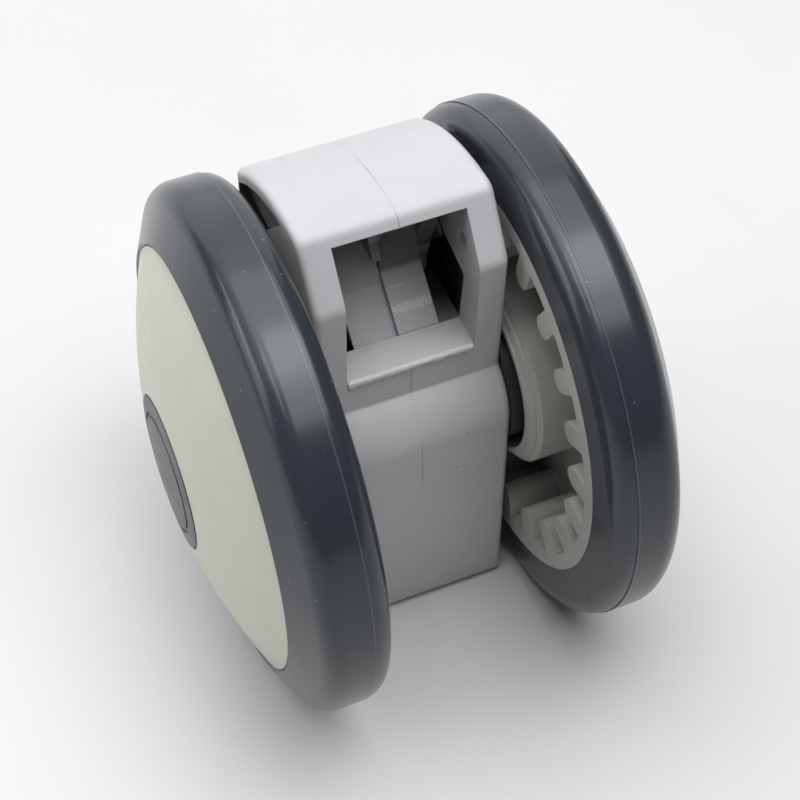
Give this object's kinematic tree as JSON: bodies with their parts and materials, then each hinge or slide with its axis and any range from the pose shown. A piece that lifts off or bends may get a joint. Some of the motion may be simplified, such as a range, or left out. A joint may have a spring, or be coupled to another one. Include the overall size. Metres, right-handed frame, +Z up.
{
  "type": "swivel caster",
  "caption": "Swivel caster with a rubber-tyred wheel on each side of a moulded housing, an open pedal pocket, a brake bar that drops between wheel teeth and a plain stem behind.",
  "frame": {"origin": "on the floor under the middle of the axle, at the centre of the box's base", "axes": "+X along the axle to the right-hand wheel, -Y towards the open pedal pocket, +Y towards the swivel stem, +Z up along the stem"},
  "size_m": [0.1362, 0.15, 0.15],
  "materials": {
    "tyre_rubber": "satin",
    "core_plastic": "satin",
    "hub_cap_plastic": "gloss",
    "centre_cap_plastic": "satin",
    "housing_plastic": "satin",
    "brake_plastic": "satin",
    "dark_plastic": "matte",
    "steel": "satin"
  },
  "bodies": {
    "housing": {"housing_left": "housing_plastic", "housing_right": "housing_plastic", "housing_screws": "steel", "axle": "steel", "axle_spacer_left": "dark_plastic", "axle_spacer_right": "dark_plastic", "push_nut_left": "steel", "push_nut_right": "steel", "rocker_pin": "steel", "return_spring": "steel", "swivel_bush_upper": "dark_plastic", "swivel_bush_lower": "dark_plastic"},
    "wheel_left": {"tyre_left": "tyre_rubber", "wheel_core_left": "core_plastic", "wheel_bush_left": "dark_plastic", "hub_cap_left": "hub_cap_plastic", "centre_cap_left": "centre_cap_plastic"},
    "wheel_right": {"tyre_right": "tyre_rubber", "wheel_core_right": "core_plastic", "wheel_bush_right": "dark_plastic", "hub_cap_right": "hub_cap_plastic", "centre_cap_right": "centre_cap_plastic"},
    "stem": {"swivel_stem": "steel", "thrust_washer": "dark_plastic", "retaining_ring": "steel"},
    "brake": {"brake_rocker": "brake_plastic", "brake_bar": "steel"}
  },
  "joints": [
    {"name": "wheel_left_spin", "type": "hinge", "parent": "housing", "child": "wheel_left", "pos_m": [-0.043, 0, 0.075], "axis": [1, 0, 0], "continuous": true},
    {"name": "wheel_right_spin", "type": "hinge", "parent": "housing", "child": "wheel_right", "pos_m": [0.043, 0, 0.075], "axis": [1, 0, 0], "continuous": true},
    {"name": "stem_swivel", "type": "hinge", "parent": "housing", "child": "stem", "pos_m": [0, 0.06, 0.075], "axis": [0, 0, 1], "continuous": true},
    {"name": "brake_rock", "type": "hinge", "parent": "housing", "child": "brake", "pos_m": [0, 0.015, 0.134], "axis": [1, 0, 0], "range_deg": [0, 8.5], "stiffness_Nm_per_rad": 0.4, "springref_deg": -5.73, "deforming": ["return_spring"]}
  ]
}
